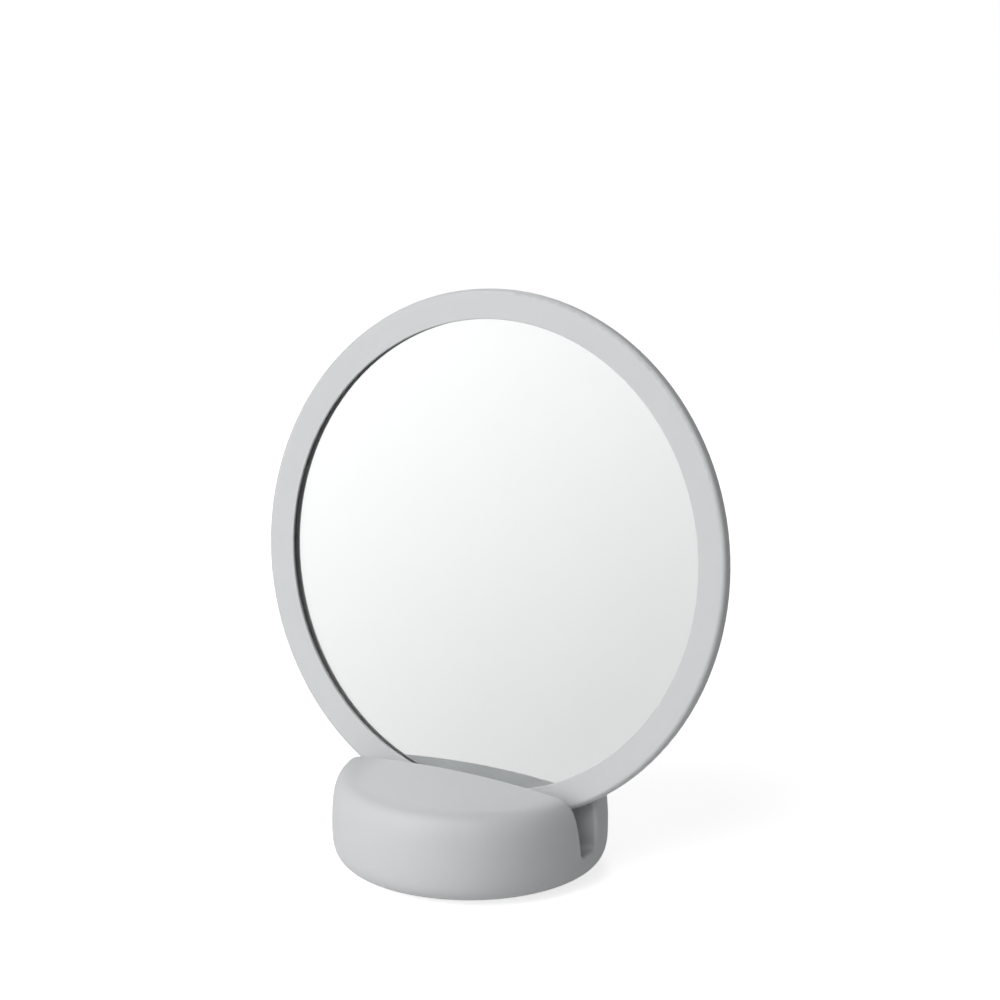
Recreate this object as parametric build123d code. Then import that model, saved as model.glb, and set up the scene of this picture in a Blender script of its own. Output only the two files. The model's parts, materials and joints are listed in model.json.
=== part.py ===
from build123d import *
import math
import os

# Round table mirror that stands, leaning back, in the slot of a low puffy base.
#
# Frame: millimetres, +Z up. The origin is the centre of the base where it meets the table.
# The slot runs along X. The mirror faces -Y and leans back towards +Y.
#
# Pieces by the body they move with:
#   base    shell with the slot, bottom plate, foot pad, screws, two ballast weights and their pads
#   cradle  soft saddle that lies in the slot, grips the rim and rocks when the mirror is tilted
#   mirror  frame ring, gasket, hollow glass, silvering, bonding sheet and rear cover, lifted
#           out of the cradle

# ---- Driving dimensions of the base -------------------------------------------------------
base_diameter = 89.0          # at the widest level
base_height = 33.2            # from the shell's underside to the top of the dome
widest_level = 13.8           # height of the widest level over the underside
curl_width = 28.5             # of the underside, from its flat middle out to the side
curl_along_underside = 0.95   # how square the lower curl is, 0 to 1
curl_along_side = 0.89
dome_radius = 320.0           # the top is a shallow dome
shoulder_width = 9.5          # from where the dome hands over to the shoulder out to the side
shoulder_lead = 6.0           # how far the dome's slope carries on into the shoulder
side_rise = 17.5              # how far the side stays upright over the widest level
wall = 3.4                    # moulded wall at the side
ceiling_thickness = 4.2       # moulded wall at the middle of the top
flange_thickness = 4.6        # thick rim round the bottom opening
cavity_corner = 4.0           # rounding inside the hollow
foot_stand = 0.6              # how far the foot pad lifts the shell off the table
slot_edge_radius = 1.2        # softened edge all round the slot's mouth

# ---- Driving dimensions of the slot -------------------------------------------------------
slot_floor = 10.7             # over the shell's underside
front_wall_slant = 8.9        # degrees, the front wall leans away from the mirror
back_wall_draft = 2.6         # degrees
slot_corner_radius = 1.6      # along the floor's two long edges
trough_wall = 2.4             # moulded wall round the slot

# ---- Driving dimensions of the mirror -----------------------------------------------------
mirror_diameter = 170.0
face_width = 9.6              # flat face of the ring
frame_thickness = 5.2
front_edge_radius = 1.5
rear_edge_radius = 2.4
inner_edge_radius = 0.3
lip_thickness = 0.5           # front lip that holds the glass
gasket_thickness = 0.4        # dark gasket between lip and glass, at the glass's rim
lip_overlap = 2.2             # how far the glass reaches behind the lip
ledge_width = 2.0             # step behind the glass that carries the rear cover
glass_hollow_radius = 850.0   # the glass is slightly hollow, so that it magnifies
glass_thickness = 2.0
silvering_thickness = 0.1
silvering_gap = 0.08
bond_thickness = 0.4          # double-sided sheet between silvering and rear cover
cover_wall = 0.8              # of the shallow dome behind the hollow glass
lean_angle = 9.5              # degrees back from upright, at rest

# ---- Driving dimensions of the cradle -----------------------------------------------------
cradle_radius = 4.4           # round underside
cradle_length = 54.0
cheek_height = 6.0            # over the rocking axis
cheek_top_half = 3.5          # half the cradle's width at the top of its cheeks
cradle_end_radius = 0.8
rock_axis_y = 0.45            # the rocking axis runs along X through here

# ---- Driving dimensions of what is inside and under the base ------------------------------
plate_radius = 31.3
plate_thickness = 2.4
plate_ledge = 2.0             # width of the step that the plate rests against
foot_radius = 28.0
foot_thickness = 1.0
screw_radius = 1.5
screw_length = 8.0
screw_head_radius = 2.8
screw_head_height = 1.4
screw_drive_radius = 1.0
boss_radius = 3.5
boss_reach_y = 19.5           # the two bosses that pass through the ballast
boss_reach_x = 22.0           # the two short bosses under the slot
ballast_radius = 28.4
ballast_chord = 10.4          # flat side of each weight, from the centre line
ballast_corner = 2.0
pad_thickness = 1.8           # foam between each weight and the ceiling
pad_inset = 1.0

# ---- Clearances ---------------------------------------------------------------------------
fit_gap = 0.2                 # round fixed pieces that are dropped into each other
screw_gap = 0.05              # round each screw
moving_gap = 0.3              # between bodies that move against each other
cut = 1.0                     # how far cutting shapes run past a surface

# ---- Worked out from them -----------------------------------------------------------------
base_radius = base_diameter / 2
underside_flat_radius = base_radius - curl_width
shoulder_radius = base_radius - shoulder_width
base_top = foot_stand + base_height
widest_z = foot_stand + widest_level
floor_z = foot_stand + slot_floor
ceiling_z = base_top - ceiling_thickness
flange_z = foot_stand + flange_thickness
plate_top = foot_stand + plate_thickness
foot_top = foot_thickness
cavity_radius = base_radius - wall
opening_radius = plate_radius + fit_gap - plate_ledge
ballast_top = ceiling_z - pad_thickness
pilot_top = foot_top + screw_length + cut
boss_places = [(0, boss_reach_y), (0, -boss_reach_y), (boss_reach_x, 0), (-boss_reach_x, 0)]

mirror_radius = mirror_diameter / 2
half_frame = frame_thickness / 2
ring_opening = mirror_radius - face_width
glass_radius = ring_opening + lip_overlap
pocket_radius = glass_radius + fit_gap
cover_seat_radius = pocket_radius + ledge_width

# The hollow glass and the sheets behind it share one centre, in front of the mirror. How far
# back a sheet lies is counted from the front of the glass, square to it.
silvering_front = glass_thickness + silvering_gap
silvering_back = silvering_front + silvering_thickness
bond_back = silvering_back + bond_thickness
cover_back = bond_back + cover_wall
glass_rim_depth = lip_thickness + gasket_thickness
hollow_centre = math.sqrt(glass_hollow_radius**2 - glass_radius**2) - glass_rim_depth

lean = math.radians(lean_angle)
rock_axis_z = floor_z + moving_gap + cradle_radius

# The slot's front wall just clears the cradle at the rocking axis.
slant = math.radians(front_wall_slant)
front_wall_at_axis = rock_axis_y - (cradle_radius + moving_gap) / math.cos(slant)

# The mirror rests its back against the rounded top edge of the slot's back wall.
edge_z = base_top - slot_edge_radius
rest_depth = half_frame + moving_gap + slot_edge_radius
rest_rise = (edge_z - rock_axis_z) * math.sin(lean)
back_wall_top = rock_axis_y + (rest_depth + rest_rise) / math.cos(lean) - slot_edge_radius


# ---- Helpers ------------------------------------------------------------------------------
def lean_plane(up, forward):
    """Plane on the leaning mirror: X along the slot, Y up the glass, Z out of the glass."""
    y = rock_axis_y + up * math.sin(lean) - forward * math.cos(lean)
    z = rock_axis_z + up * math.cos(lean) + forward * math.sin(lean)
    return Plane(origin=(0, y, z), x_dir=(1, 0, 0), z_dir=(0, -math.cos(lean), math.sin(lean)))


def disc(radius, low, high, x=0.0, y=0.0):
    """Upright cylinder between two levels."""
    return Pos(x, y, (low + high) / 2) * Cylinder(radius, high - low)


def section(points):
    """Closed face in the XZ plane from points given as radius and height."""
    return make_face(Polyline(*[(r, 0, z) for r, z in points], close=True))


def along_x(points, half_length):
    """Prism along X from points given as Y and Z."""
    outline = make_face(Polyline(*[(0, y, z) for y, z in points], close=True))
    return extrude(outline, half_length, dir=(1, 0, 0), both=True)


# ---- Base shell ---------------------------------------------------------------------------
def base_body():
    """Solid puffy body: flat underside, square lower curl, soft shoulder, shallow dome."""
    r, flat = base_radius, underside_flat_radius
    dome_z = base_top - shoulder_radius**2 / (2 * dome_radius)
    slope = shoulder_radius / dome_radius
    underside = Line((0, 0, foot_stand), (flat, 0, foot_stand))
    curl = Bezier(
        (flat, 0, foot_stand),
        (flat + curl_along_underside * (r - flat), 0, foot_stand),
        (r, 0, widest_z - curl_along_side * widest_level),
        (r, 0, widest_z),
    )
    shoulder = Bezier(
        (r, 0, widest_z),
        (r, 0, widest_z + side_rise),
        (shoulder_radius + shoulder_lead, 0, dome_z - shoulder_lead * slope),
        (shoulder_radius, 0, dome_z),
    )
    dome = Bezier(
        (shoulder_radius, 0, dome_z),
        (shoulder_radius / 2, 0, base_top),
        (0, 0, base_top),
    )
    axis_line = Line((0, 0, base_top), (0, 0, foot_stand))
    return revolve(make_face([underside, curl, shoulder, dome, axis_line]), Axis.Z)


def front_wall_y(z):
    return front_wall_at_axis - (z - rock_axis_z) * math.tan(slant)


def back_wall_y(z):
    return back_wall_top - (edge_z - z) * math.tan(math.radians(back_wall_draft))


def slot_prism(grow, low, high):
    """The slot's section, widened by grow on both sides, run right through along X."""
    corners = [
        (front_wall_y(low) - grow, low),
        (back_wall_y(low) + grow, low),
        (back_wall_y(high) + grow, high),
        (front_wall_y(high) - grow, high),
    ]
    return along_x(corners, base_radius + cut)


def boss_top(y):
    """Long bosses hang from the ceiling, short ones from under the slot."""
    return ceiling_z if abs(y) > ballast_chord else floor_z - trough_wall


def hollow():
    """Everything that is empty inside the shell, with its opening and the rebate below."""
    cavity = disc(cavity_radius, flange_z, ceiling_z)
    space = fillet(cavity.edges().filter_by(GeomType.CIRCLE), cavity_corner)
    space += disc(opening_radius, plate_top, flange_z + cavity_corner)
    space -= slot_prism(trough_wall, floor_z - trough_wall, base_top)
    for x, y in boss_places:
        space -= disc(boss_radius, plate_top, boss_top(y) + cut, x, y)
    return space + disc(plate_radius + fit_gap, foot_stand - cut, plate_top)


def make_base_shell():
    slot = slot_prism(0, floor_z, base_top + cut)
    slot = fillet(slot.edges().filter_by(Axis.X).sort_by(Axis.Z)[:2], slot_corner_radius)
    plain = base_body()
    body = plain - slot
    mouth = new_edges(plain, slot, combined=body).filter_by(Axis.X, reverse=True)
    body = fillet(mouth, slot_edge_radius) - hollow()
    for x, y in boss_places:
        body -= disc(screw_radius + screw_gap, plate_top - cut, pilot_top, x, y)
    return body


# ---- Under and inside the base ------------------------------------------------------------
def screw_head(gap):
    """Countersunk head, flush with the recess for the foot pad."""
    top = foot_top + screw_head_height
    points = [(0, foot_top), (screw_head_radius + gap, foot_top), (screw_radius + gap, top), (0, top)]
    return revolve(section(points), Axis.Z)


def make_base_plate():
    plate = disc(plate_radius, foot_stand, plate_top)
    plate -= disc(foot_radius + fit_gap, foot_stand - cut, foot_top)
    for x, y in boss_places:
        plate -= disc(screw_radius + screw_gap, foot_stand - cut, plate_top + cut, x, y)
        plate -= Pos(x, y, 0) * screw_head(screw_gap)
    return plate


def make_plate_screws():
    """Four countersunk screws as one group of separate solids."""
    screw = screw_head(0) + disc(screw_radius, foot_top, foot_top + screw_length)
    screw -= disc(screw_drive_radius, foot_top - cut, foot_top + screw_head_height / 2)
    return Compound([Pos(x, y, 0) * screw for x, y in boss_places])


def make_foot_pad():
    pad = disc(foot_radius, 0, foot_thickness)
    return fillet(pad.edges().sort_by(Axis.Z)[0], foot_thickness / 4)


def half_moon(radius, low, high, side):
    """Flat D whose straight side faces the slot, in front (-1) of it or behind (+1) it."""
    strip = Pos(0, side * (ballast_chord + radius), (low + high) / 2)
    piece = disc(radius, low, high) & (strip * Box(2 * radius, 2 * radius, high - low))
    piece = fillet(piece.edges().filter_by(Axis.Z), ballast_corner)
    return piece - disc(boss_radius + fit_gap, low - cut, high + cut, 0, side * boss_reach_y)


def make_ballast(side):
    return half_moon(ballast_radius, plate_top, ballast_top, side)


def make_ballast_pad(side):
    return half_moon(ballast_radius - pad_inset, ballast_top, ceiling_z, side)


# ---- Cradle -------------------------------------------------------------------------------
def make_cradle():
    """Saddle with a round underside, two cheeks and a groove that follows the mirror's rim.

    It is drawn on the mirror's own plane: Y runs up the glass and Z comes out of it.
    """
    r, half = cradle_radius, cradle_length / 2
    barrel = extrude(Plane.YZ * Circle(r), half, both=True)
    lower_half = Pos(0, -r, 0) * Box(cradle_length, 2 * r, 2 * r)
    cheek_corners = [(0, -r), (0, r), (cheek_height, cheek_top_half), (cheek_height, -cheek_top_half)]
    saddle = (barrel & lower_half) + along_x(cheek_corners, half)
    ends = saddle.edges().group_by(Axis.X)
    saddle = fillet(ends[0] + ends[-1], cradle_end_radius)
    groove_radius = mirror_radius + moving_gap
    groove = Pos(0, groove_radius, 0) * Cylinder(groove_radius, frame_thickness + 2 * moving_gap)
    return lean_plane(0, 0).location * (saddle - groove)


# ---- Mirror -------------------------------------------------------------------------------
def on_mirror(piece):
    """Put a piece that was turned about Z, face at Z = 0, in place in the cradle."""
    return lean_plane(mirror_radius + moving_gap, half_frame).location * piece


def sheet_z(back, radius):
    """Height, on the turned piece, of the sheet that lies this far behind the glass's front."""
    return hollow_centre - math.sqrt((glass_hollow_radius + back) ** 2 - radius**2)


def ball(back):
    """Sphere that such a sheet lies on. Its poles and its seam are off to the sides."""
    return Pos(0, 0, hollow_centre) * Rot(90, 0, 0) * Sphere(glass_hollow_radius + back)


def corner(face, outer, front):
    """One corner of the ring's section, on its outer or inner side."""
    side = face.vertices().group_by(Axis.X)[-1 if outer else 0]
    return side.sort_by(Axis.Z)[-1 if front else 0]


def make_frame_ring():
    ledge_z = sheet_z(bond_back, glass_radius)
    points = [
        (ring_opening, 0),
        (mirror_radius, 0),
        (mirror_radius, -frame_thickness),
        (cover_seat_radius, -frame_thickness),
        (cover_seat_radius, ledge_z),
        (pocket_radius, ledge_z),
        (pocket_radius, -lip_thickness),
        (ring_opening, -lip_thickness),
    ]
    rim = section(points)
    rim = fillet(corner(rim, outer=True, front=False), rear_edge_radius)
    rim = fillet(corner(rim, outer=True, front=True), front_edge_radius)
    rim = fillet(corner(rim, outer=False, front=True), inner_edge_radius)
    return on_mirror(revolve(rim, Axis.Z))


def make_glass_gasket():
    """Thin ring between the lip's flat back and the hollow front of the glass."""
    low = sheet_z(0, ring_opening) - cut
    gasket = disc(glass_radius, low, -lip_thickness) - disc(ring_opening, low - cut, 0)
    return on_mirror(gasket & ball(0))


def layer(front, back):
    """Hollow round sheet of the mirror, between two depths behind the glass's front."""
    blank = disc(glass_radius, sheet_z(back, 0) - cut, 0)
    return on_mirror((blank & ball(back)) - ball(front))


def make_rear_cover():
    """Flush with the ring's back, with a shallow dome that makes room for the hollow glass."""
    seat_z = sheet_z(bond_back, glass_radius)
    flat = disc(cover_seat_radius - fit_gap, -frame_thickness, seat_z)
    back_rim = flat.edges().group_by(Axis.Z)[0].filter_by(GeomType.CIRCLE)
    dome = disc(glass_radius, sheet_z(cover_back, 0) - cut, seat_z) & ball(cover_back)
    return on_mirror(fillet(back_rim, inner_edge_radius) + dome - ball(bond_back))


# ---- Output -------------------------------------------------------------------------------
pieces = {
    "base_shell": make_base_shell(),
    "base_plate": make_base_plate(),
    "plate_screws": make_plate_screws(),
    "foot_pad": make_foot_pad(),
    "ballast_front": make_ballast(-1),
    "ballast_rear": make_ballast(1),
    "ballast_pad_front": make_ballast_pad(-1),
    "ballast_pad_rear": make_ballast_pad(1),
    "cradle": make_cradle(),
    "frame_ring": make_frame_ring(),
    "glass_gasket": make_glass_gasket(),
    "mirror_glass": layer(0, glass_thickness),
    "silvering": layer(silvering_front, silvering_back),
    "bonding_sheet": layer(silvering_back, bond_back),
    "rear_cover": make_rear_cover(),
}

os.makedirs("parts", exist_ok=True)
for name, piece in pieces.items():
    export_step(piece, os.path.join("parts", name + ".step"))
    print(name, "volume", round(piece.volume), "mm3")
print("rocking axis", round(rock_axis_y, 3), round(rock_axis_z, 3))
print("slot width at the top edge", round(back_wall_y(edge_z) - front_wall_y(edge_z), 2))
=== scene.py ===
# %% [markdown]
# # A round table mirror in a slotted base
# The real object is a round mirror in a thin matt ring, leaning back in the slot of a low,
# puffy base. Everything hard was drawn as construction first, and is loaded here as a fixed
# frame. This script adds what the eye needs: finishes, fine surfaces, light and a camera.
# Loading comes first, because the later cells put finishes onto the frame's nodes.

# %% Load the frame
import json
import math

import bpy
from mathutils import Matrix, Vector

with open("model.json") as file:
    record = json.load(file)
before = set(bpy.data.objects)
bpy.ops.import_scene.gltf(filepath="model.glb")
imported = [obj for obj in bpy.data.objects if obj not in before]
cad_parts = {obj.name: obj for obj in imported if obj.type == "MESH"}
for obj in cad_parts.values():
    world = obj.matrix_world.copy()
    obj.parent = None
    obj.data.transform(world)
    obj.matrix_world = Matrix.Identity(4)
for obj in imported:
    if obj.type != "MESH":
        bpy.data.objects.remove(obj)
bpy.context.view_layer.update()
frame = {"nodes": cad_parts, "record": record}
MM = 0.001

# %% [markdown]
# ## Where the camera stands
# The picture was taken with a long lens from in front of the mirror, to its right and a
# little above it. A direction (azimuth and elevation), a distance and a focal length say the
# same thing as a matrix, and are easy to change. The camera looks at a point a little up and
# to the right of the object, which puts the object in the lower left of the frame without
# shifting the lens.

# %% Camera
CAMERA_AZIMUTH = math.radians(31.94)
CAMERA_ELEVATION = math.radians(17.19)
CAMERA_DISTANCE = 1.25
CAMERA_SEES_TO = 50                 # metres
SENSOR_MM = 36.0
FRAME_PIXELS = 1000
FOCAL_PIXELS = 3943
TARGET = Vector((0, 0, 0.0956))
TARGET_AT_PIXEL = (469.4, 579.6)


def direction(azimuth, elevation):
    """Unit vector from the object towards a viewer or a lamp; azimuth 0 is in front, -Y."""
    flat = math.cos(elevation)
    return Vector((math.sin(azimuth) * flat, -math.cos(azimuth) * flat, math.sin(elevation)))


def aim(thing, place, at):
    """Put a camera or lamp at a place and turn its -Z to a point."""
    thing.location = place
    thing.rotation_euler = (at - place).to_track_quat("-Z", "Y").to_euler()


to_camera = direction(CAMERA_AZIMUTH, CAMERA_ELEVATION)
camera_right = Vector((math.cos(CAMERA_AZIMUTH), math.sin(CAMERA_AZIMUTH), 0))
camera_up = to_camera.cross(camera_right)
metres_per_pixel = CAMERA_DISTANCE / FOCAL_PIXELS
middle = FRAME_PIXELS / 2
aim_point = (TARGET + camera_right * (middle - TARGET_AT_PIXEL[0]) * metres_per_pixel
             + camera_up * (TARGET_AT_PIXEL[1] - middle) * metres_per_pixel)

camera = bpy.data.objects.new("camera", bpy.data.cameras.new("camera"))
bpy.context.scene.collection.objects.link(camera)
camera.data.sensor_width = SENSOR_MM
camera.data.lens = FOCAL_PIXELS / FRAME_PIXELS * SENSOR_MM
camera.data.clip_end = CAMERA_SEES_TO
aim(camera, TARGET + to_camera * CAMERA_DISTANCE, aim_point)
bpy.context.scene.camera = camera
print("camera at", [round(v, 3) for v in camera.location],
      "lens", round(camera.data.lens, 1), "mm")

# %% [markdown]
# ## Shader maths as plain Python
# A finish is a small graph of nodes. Wiring it by hand takes a line for each link, and hides
# the formula. Here one class wraps an output socket and overloads the operators, so that
# `0.5 + 0.1 * grain` adds its Math nodes by itself. Every other node comes from one method.

# %% The socket class
class Wire:
    """An output socket that can be added, taken away and multiplied like a number."""

    def __init__(self, graph, socket):
        self.graph, self.socket = graph, socket

    def __add__(self, other):
        return self.graph.maths("ADD", self, other)

    def __sub__(self, other):
        return self.graph.maths("SUBTRACT", self, other)

    def __rsub__(self, other):
        return self.graph.maths("SUBTRACT", other, self)

    def __mul__(self, other):
        return self.graph.maths("MULTIPLY", self, other)

    __radd__ = __add__
    __rmul__ = __mul__


print("socket class ready")

# %% [markdown]
# ## The graph of one material
# The same few nodes come back in every finish: a cloud of noise, a blend of two colours, a
# ramp from one level to another, a bump. Each gets a short method with plain words and real
# sizes in millimetres, so that a finish reads like a recipe.

# %% The graph class
MIX_SHARE, MIX_FIRST, MIX_SECOND, MIX_RESULT = 0, 6, 7, 2      # a Mix node's colour sockets


class Graph:
    """The node tree of one material, or of the world."""

    def __init__(self, owner):
        owner.use_nodes = True
        self.tree = owner.node_tree
        self.tree.nodes.clear()

    def node(self, kind, settings=None, inputs=None, output=0):
        """Make a node, set it up, feed its sockets with values or wires, return one output."""
        made = self.tree.nodes.new(kind)
        for name, value in (settings or {}).items():
            setattr(made, name, value)
        for name, value in (inputs or {}).items():
            if isinstance(value, Wire):
                self.tree.links.new(value.socket, made.inputs[name])
            else:
                made.inputs[name].default_value = value
        return Wire(self, made.outputs[output] if made.outputs else None)

    def maths(self, operation, *values):
        """A Math node on numbers."""
        return self.node("ShaderNodeMath", {"operation": operation}, dict(enumerate(values)))

    def mix(self, share, first, second):
        """A colour between two colours."""
        sockets = {MIX_SHARE: share, MIX_FIRST: first, MIX_SECOND: second}
        return self.node("ShaderNodeMix", {"data_type": "RGBA"}, sockets, MIX_RESULT)

    def ramp(self, value, start, end, at_start, at_end, curve="LINEAR"):
        """A value that goes from one level to another between two places, and then holds."""
        return self.node("ShaderNodeMapRange", {"interpolation_type": curve},
                         {"Value": value, "From Min": start, "From Max": end,
                          "To Min": at_start, "To Max": at_end})

    def place(self):
        """Where a point is on the object, in metres; it moves with the piece."""
        return self.node("ShaderNodeTexCoord", output="Object")

    def along(self, axis, vector):
        """How far a vector goes along X, Y or Z."""
        return self.node("ShaderNodeSeparateXYZ", {}, {0: vector}, axis)

    def noise(self, size_mm, detail=2.0, roughness=0.5):
        """Cloudy values round 0.5 whose blots are about this wide."""
        sockets = {"Vector": self.place(), "Scale": 1 / (size_mm * MM), "Detail": detail,
                   "Roughness": roughness}
        return self.node("ShaderNodeTexNoise", {}, sockets)

    def bump(self, height, depth_mm):
        """Relief: a height of 0 to 1 stands for this real depth."""
        return self.node("ShaderNodeBump", {}, {"Distance": depth_mm * MM, "Height": height})

    def seen_in_shine(self):
        """1 where the camera sees it by way of mirror or glass, 0 where it lights a matt place."""
        path = "ShaderNodeLightPath"
        shiny = self.maths("MAXIMUM", self.node(path, output="Is Glossy Ray"),
                           self.node(path, output="Is Transmission Ray"))
        return shiny * (1 - self.maths("MINIMUM", self.node(path, output="Diffuse Depth"), 1.0))

    def surface(self, shader, kind="ShaderNodeOutputMaterial"):
        """End the graph: this shader is what is drawn."""
        self.node(kind, {}, {"Surface": shader})


print("graph class ready")

# %% [markdown]
# ## The finishes
# The ring and the base share one finish: a light grey moulding with a matt, soft-touch coat.
# It isn't one flat grey. The coat's colour drifts a little over centimetres, its roughness
# drifts over millimetres, and it has a grain about a third of a millimetre across. Each finish
# below is the same recipe with other numbers, so one function holds the recipe: two close
# colours mixed by a slow cloud, roughness from a second cloud, relief from a fine grain.

# %% Recipe for moulded finishes
finishes = {}


def new_finish(slot):
    """A material for one of the record's slots, and the graph to draw it with."""
    finishes[slot] = bpy.data.materials.new(slot + "_finish")
    return Graph(finishes[slot])


def moulded(slot, dark, light, cloud_mm=18.0, rough=(0.5, 0.6), grain_mm=0.35,
            grain_depth_mm=0.006, on_top=None, **constants):
    """A matt moulding: two close colours, a drifting roughness and a fine grain."""
    graph = new_finish(slot)
    colour = graph.mix(graph.noise(cloud_mm, detail=3.0), dark + (1,), light + (1,))
    if on_top:
        colour = on_top(graph, colour)
    drift = graph.noise(cloud_mm / 4, detail=4.0)
    grain = graph.noise(grain_mm, roughness=0.6)
    sockets = {"Base Color": colour,
               "Roughness": rough[0] + (rough[1] - rough[0]) * drift,
               "Normal": graph.bump(grain, grain_depth_mm)}
    sockets.update(constants)
    graph.surface(graph.node("ShaderNodeBsdfPrincipled", {}, sockets))


moulded("soft_touch_grey", (0.585, 0.600, 0.607), (0.615, 0.630, 0.637))
moulded("inner_plastic", (0.27, 0.28, 0.29), (0.33, 0.34, 0.35), rough=(0.45, 0.6),
        grain_mm=0.6, grain_depth_mm=0.02)
moulded("foot_rubber", (0.10, 0.10, 0.105), (0.14, 0.14, 0.145), rough=(0.65, 0.8),
        grain_mm=0.5, grain_depth_mm=0.02)
moulded("cradle_rubber", (0.26, 0.27, 0.275), (0.31, 0.32, 0.325), rough=(0.55, 0.7),
        grain_mm=0.4, grain_depth_mm=0.01)
moulded("foam", (0.20, 0.20, 0.21), (0.29, 0.29, 0.30), cloud_mm=1.2, rough=(0.85, 0.95),
        grain_mm=0.8, grain_depth_mm=0.15)
moulded("ballast_iron", (0.12, 0.12, 0.125), (0.20, 0.20, 0.205), cloud_mm=6.0,
        rough=(0.5, 0.75), grain_mm=1.1, grain_depth_mm=0.08, Metallic=0.6)
moulded("screw_steel", (0.50, 0.50, 0.51), (0.60, 0.60, 0.61), cloud_mm=1.5,
        rough=(0.25, 0.4), grain_mm=0.2, grain_depth_mm=0.003, Metallic=1.0)
print("moulded finishes", sorted(finishes))

# %% [markdown]
# ## The gasket, with painted shade and painted light
# The gasket fills the narrow groove between the ring's lip and the glass. It is drawn as dark
# rubber, and that dark colour is painted shade for the groove's unlit wall. Low in the groove
# it turns paler, which is painted light where light falls into the groove from above. So it is
# the same recipe with one more layer on top: a paler grey for the painted light, mixed in by
# height.

# %% Gasket
# Painted light: below these heights the gasket turns paler, as if lit from above; above them its
# dark colour is painted shade.
GASKET_PAINTED_SHADE_ABOVE = 95 * MM
GASKET_PAINTED_LIGHT_BELOW = 50 * MM
PAINTED_LIGHT_GREY = (0.50, 0.505, 0.51, 1)


def painted_light_when_low(graph, colour):
    """Painted light over a colour, stronger farther down."""
    height = graph.along("Z", graph.place())
    return graph.mix(graph.ramp(height, GASKET_PAINTED_LIGHT_BELOW, GASKET_PAINTED_SHADE_ABOVE, 1.0, 0.0),
                     colour, PAINTED_LIGHT_GREY)


# The gasket's dark rubber colour is painted shade for the groove, with painted light mixed in low
# down.
moulded("gasket_rubber", (0.17, 0.17, 0.175), (0.20, 0.20, 0.205), rough=(0.5, 0.65),
        grain_mm=0.3, grain_depth_mm=0.01, on_top=painted_light_when_low)
print("gasket painted shade above", GASKET_PAINTED_SHADE_ABOVE, "m, painted light below", GASKET_PAINTED_LIGHT_BELOW, "m")

# %% [markdown]
# ## Glass over silver
# A mirror is two things: clear glass, and behind it a thin coat of silver. Drawn as one
# shiny sheet it looks like polished steel. Drawn as both, the ring's edge shows twice, once in
# the silver and once through the glass, and that dark double line is what makes it a mirror.

# %% Glass and silver
GLASS_SMEAR = 0.004         # the most roughness that wiping leaves on the glass
SILVER_HAZE = 0.002         # and the most that the coat has


def make_clear_glass():
    """Clear glass with a faint tint and faint smears."""
    graph = new_finish("clear_glass")
    tint = graph.mix(graph.noise(size_mm=40.0), (0.984, 0.989, 0.988, 1), (0.988, 0.992, 0.991, 1))
    sockets = {"Base Color": tint, "IOR": 1.5, "Transmission Weight": 1.0,
               "Roughness": GLASS_SMEAR * graph.noise(size_mm=14.0, detail=3.0)}
    graph.surface(graph.node("ShaderNodeBsdfPrincipled", {}, sockets))


def make_silver():
    """A bright metal coat, a touch uneven."""
    graph = new_finish("silver")
    tone = graph.mix(graph.noise(size_mm=30.0), (0.94, 0.948, 0.95, 1), (0.96, 0.965, 0.966, 1))
    sockets = {"Base Color": tone, "Metallic": 1.0,
               "Roughness": SILVER_HAZE * graph.noise(size_mm=8.0)}
    graph.surface(graph.node("ShaderNodeBsdfPrincipled", {}, sockets))


make_clear_glass()
make_silver()
print("glass and silver ready")

# %% [markdown]
# ## Finishes onto the frame's nodes
# The record names a slot for each node, and the finishes above are kept by slot, so one loop
# dresses them all.

# %% Dress the nodes
slot_of = {part["node"]: part["material_slot"] for part in frame["record"]["subparts"]}
for name, node in frame["nodes"].items():
    node.data.materials.clear()
    node.data.materials.append(finishes[slot_of[name]])
print("dressed", len(slot_of), "nodes")

# %% [markdown]
# ## Floor
# The object stands on a pale floor that melts into white. The floor is a square sheet whose
# material fades out in a ring, so that no horizon shows. To the camera it gives off a little
# light of its own, which lifts it to white and keeps the shadow that falls on it. From below
# it is clear, to leave the underside open to view.

# %% Make the floor
FLOOR_RADIUS = 0.9
FLOOR_FADE_FROM = 0.35
FLOOR_FADE_TO = 0.882
FLOOR_SHADES = (0.79, 0.79, 0.79, 1), (0.81, 0.81, 0.81, 1)
FLOOR_ROUGHNESS = 0.9
FLOOR_GLOW = 0.77           # added to the floor for the camera's eye
FLOOR_IN_MIRROR = 0.45      # share of that which the mirror sees
BLACK, WHITE = (0, 0, 0, 1), (1, 1, 1, 1)


def floor_material():
    """A matt pale sheet that glows for the camera and fades out with distance."""
    material = bpy.data.materials.new("floor")
    graph = Graph(material)
    eye = graph.node("ShaderNodeLightPath", output="Is Camera Ray")
    glow = graph.mix(eye + graph.seen_in_shine() * FLOOR_IN_MIRROR, BLACK, WHITE)
    away = graph.node("ShaderNodeVectorMath", {"operation": "LENGTH"}, {0: graph.place()}, "Value")
    here = graph.ramp(away, FLOOR_FADE_FROM, FLOOR_FADE_TO, 1.0, 0.0, "SMOOTHSTEP")
    front = 1 - graph.node("ShaderNodeNewGeometry", output="Backfacing")
    sockets = {"Base Color": graph.mix(graph.noise(size_mm=90.0), *FLOOR_SHADES),
               "Roughness": FLOOR_ROUGHNESS, "Specular IOR Level": 0.0,
               "Emission Color": glow, "Emission Strength": FLOOR_GLOW, "Alpha": here * front}
    graph.surface(graph.node("ShaderNodeBsdfPrincipled", {}, sockets))
    return material


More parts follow.
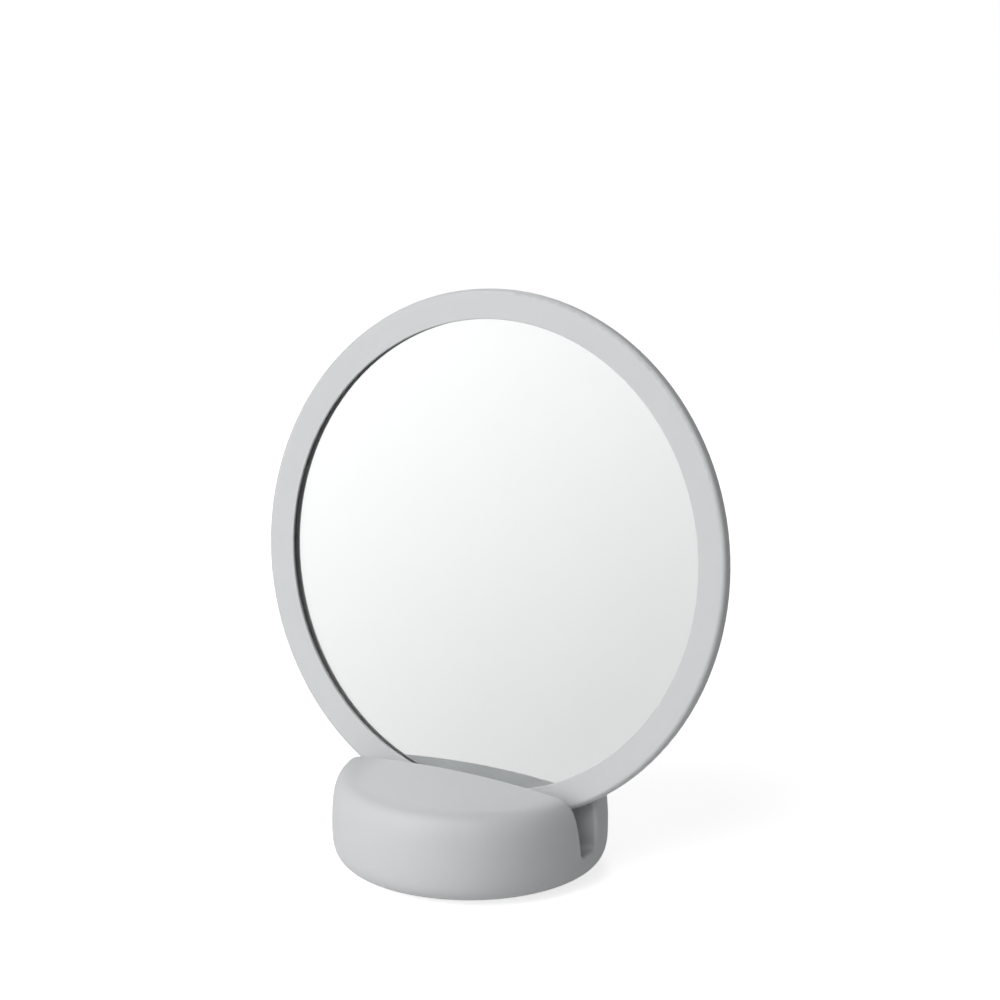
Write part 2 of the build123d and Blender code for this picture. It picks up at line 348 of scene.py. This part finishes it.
def make_floor():
    """A flat sheet under the object, staged so that it isn't part of it."""
    mesh = bpy.data.meshes.new("floor")
    r = FLOOR_RADIUS
    mesh.from_pydata([(-r, -r, 0), (r, -r, 0), (r, r, 0), (-r, r, 0)], [], [(0, 1, 2, 3)])
    mesh.materials.append(floor_material())
    floor = bpy.data.objects.new("floor", mesh)
    bpy.context.scene.collection.objects.link(floor)


make_floor()
print("floor", FLOOR_RADIUS, "m, fades from", FLOOR_FADE_FROM)

# %% [markdown]
# ## Room light
# The room is white to the eye. As a lamp it is weak, and the large lamps do the rest. The
# mirror doesn't look at the object but out into the room, towards its front left. The room
# gets a touch darker there farther left and higher up, which darkens the glass to its lower
# right. A slope of brightness over those directions gives the glass this slow gradient.

# %% World
ROOM_LIGHT = 0.132
LOOK_FALL = 1.04                            # how much height counts against going right
LOOK_DIM, LOOK_BRIGHT = -0.60, -0.36        # where the slope starts and ends
ROOM_DIM, ROOM_BRIGHT = 0.77, 1.127         # how bright the room looks there


def make_world():
    """A white room to the eye, a sloping one to the mirror, a weak lamp to the rest."""
    world = bpy.data.worlds.new("room")
    bpy.context.scene.world = world
    graph = Graph(world)
    out = graph.node("ShaderNodeTexCoord", output="Generated")
    look = graph.along("X", out) - LOOK_FALL * graph.along("Z", out)
    slope = graph.ramp(look, LOOK_DIM, LOOK_BRIGHT, ROOM_DIM, ROOM_BRIGHT)
    eye = graph.node("ShaderNodeLightPath", output="Is Camera Ray")
    mirrored = graph.seen_in_shine()
    strength = ROOM_LIGHT + eye * (1 - ROOM_LIGHT) + mirrored * (slope - ROOM_LIGHT)
    sockets = {"Color": WHITE, "Strength": strength}
    graph.surface(graph.node("ShaderNodeBackground", {}, sockets), "ShaderNodeOutputWorld")


make_world()
print("room light", ROOM_LIGHT)

# %% [markdown]
# ## Lamps
# Large soft lamps stand in front of the mirror. The low one, to the left, makes the base's
# left side light and lets its right side fall away, and the high one lights the tops. The
# glass would show the low lamp as a white disc, so that lamp is hidden from mirror and glass.
# The one called thrown is narrower, just too high to be seen there. Its light and the high
# lamp's go by way of the mirror onto the top of the base and the wall of the slot. Blender
# filters such light out by blurring what glossy things send on, so that filter is turned off.
# A small, weak lamp behind keeps the object's back from falling dark.

# %% Lamps
LAMP_DISTANCE = 1.6         # metres
LAMPS = {                   # azimuth and elevation in degrees, watts, width in metres, and
                            # whether it shows in the mirror
    "low": (-26, 22, 8.9, 1.5, False),
    "high": (-10, 45, 12.3, 1.6, True),
    "thrown": (-26, 24.5, 4.5, 1.05, True),
    "back": (212, 35, 3.5, 0.5, True),
}


def soft_lamp(name, azimuth, elevation, watts, width, in_mirror):
    """A round lamp that faces the object from a direction."""
    lamp = bpy.data.objects.new(name, bpy.data.lights.new(name, "AREA"))
    bpy.context.scene.collection.objects.link(lamp)
    lamp.data.shape = "DISK"
    lamp.data.size = width
    lamp.data.energy = watts
    lamp.visible_glossy = lamp.visible_transmission = in_mirror
    away = direction(math.radians(azimuth), math.radians(elevation))
    aim(lamp, TARGET + away * LAMP_DISTANCE, TARGET)


for name, settings in LAMPS.items():
    soft_lamp(name, *settings)
bpy.context.scene.cycles.blur_glossy = 0.0
print("lamps", LAMPS)

# %% [markdown]
# ## View transform
# The view transform is the plain one, so that a colour comes out about as it is written.

# %% Finish
bpy.context.scene.view_settings.view_transform = "Standard"
